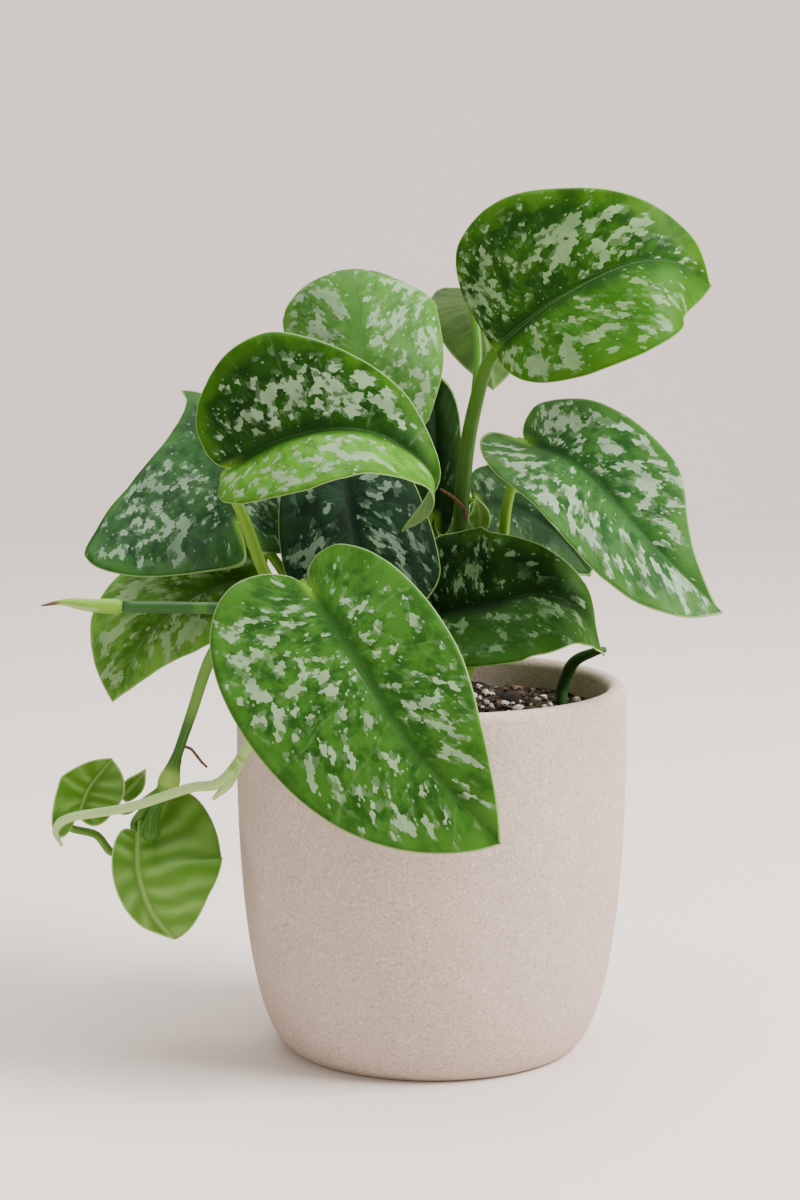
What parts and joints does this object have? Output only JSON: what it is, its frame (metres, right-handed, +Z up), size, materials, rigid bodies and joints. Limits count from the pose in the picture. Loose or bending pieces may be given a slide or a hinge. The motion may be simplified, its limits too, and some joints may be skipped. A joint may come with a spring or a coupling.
{
  "type": "potted satin pothos plant",
  "caption": "Bushy satin pothos with silver-marked heart-shaped leaves and short trailing vines, growing in soil in a plain round stoneware pot with a flat base.",
  "frame": {"origin": "middle of the pot's flat base, on the surface that the pot stands on", "axes": "+Z up along the pot's axis, -Y out of the plant's best side, +X to the right as seen from that side"},
  "size_m": [0.2273, 0.1935, 0.2975],
  "materials": {
    "pot": "matte warm greige stoneware with fine sandy speckle",
    "soil": "dark moist potting soil with bark and white grains",
    "leaf_green": "mid green leaf with silver patches and a satin sheen",
    "leaf_dark": "dark blue-green leaf with silver patches and a satin sheen",
    "leaf_satin": "pale satin leaf, silver over most of its face",
    "leaf_olive": "olive green leaf seen from below",
    "leaf_young": "light yellow-green young leaf with fine pale ridges",
    "stem": "smooth light green stalk",
    "stem_dark": "smooth dark green young stem",
    "stem_pale": "smooth very light green vine",
    "sheath": "light green sheath drying to brown at its tip",
    "root": "brown dry aerial root"
  },
  "bodies": {
    "root": {"pot": "pot", "soil": "soil", "stem_centre": "stem", "stem_right": "stem", "stem_left": "stem", "stem_back": "stem", "petiole_front": "stem", "vine_trailing": "stem", "vine_tip": "stem_dark", "shoot_right": "stem_dark", "vine_front": "stem_pale", "sheath_tip": "sheath", "sheath_centre": "sheath", "root_centre": "root", "root_trailing": "root", "leaf_top_right": "leaf_green", "leaf_right": "leaf_green", "leaf_centre": "leaf_green", "leaf_front": "leaf_green", "leaf_low_left": "leaf_green", "leaf_rear_middle": "leaf_green", "leaf_rear_right": "leaf_green", "leaf_rear_left": "leaf_green", "leaf_left": "leaf_dark", "leaf_middle": "leaf_dark", "leaf_low_right": "leaf_dark", "leaf_back_dark": "leaf_dark", "leaf_behind_right": "leaf_dark", "leaf_top_back": "leaf_satin", "leaf_top_behind": "leaf_olive", "leaf_young_front": "leaf_young", "leaf_young_left": "leaf_young", "leaf_young_behind": "leaf_young"}
  },
  "joints": []
}
